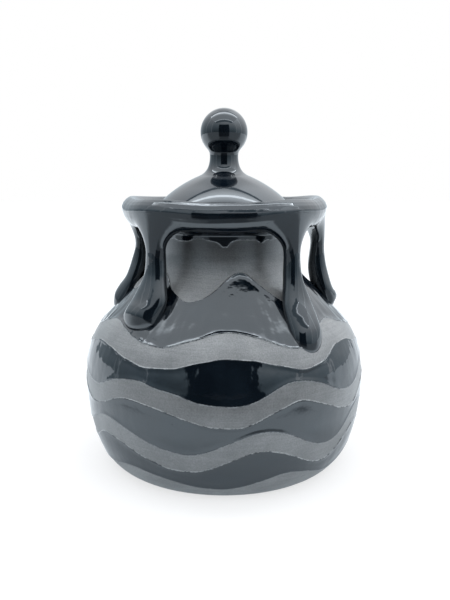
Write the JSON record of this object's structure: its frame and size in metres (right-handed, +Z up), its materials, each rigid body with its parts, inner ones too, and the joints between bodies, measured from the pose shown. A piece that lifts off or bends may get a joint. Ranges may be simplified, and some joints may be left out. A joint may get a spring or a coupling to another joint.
{
  "type": "lidded pottery jar",
  "caption": "Round-bellied lidded jar with a flared rolled lip, drip handles that run down onto the shoulder and a lift-off domed lid with a ball knob; gloss black and etched grey glaze.",
  "frame": {"origin": "on the table, at the centre of the foot ring, under the jar's axis", "axes": "+Z up along the jar's axis, -Y the side that faces the camera, +X to the viewer's right"},
  "size_m": [0.15, 0.15, 0.1848],
  "materials": {
    "etched_body": "satin grey etched glaze with gloss black bands",
    "black_glaze": "gloss blue-black glaze"
  },
  "bodies": {
    "jar": {"jar_body": "etched_body", "rim_collar": "black_glaze", "drip_handle_front_left": "black_glaze", "drip_handle_front_right": "black_glaze", "drip_handle_side_left": "black_glaze", "drip_handle_side_right": "black_glaze", "drip_handle_back": "black_glaze"},
    "lid": {"lid_dome": "black_glaze", "lid_locating_flange": "black_glaze", "lid_knob": "black_glaze"}
  },
  "joints": [
    {"name": "lid_lift", "type": "slide", "parent": "jar", "child": "lid", "axis": [0, 0, 1], "range_m": [0, 0.06]}
  ]
}
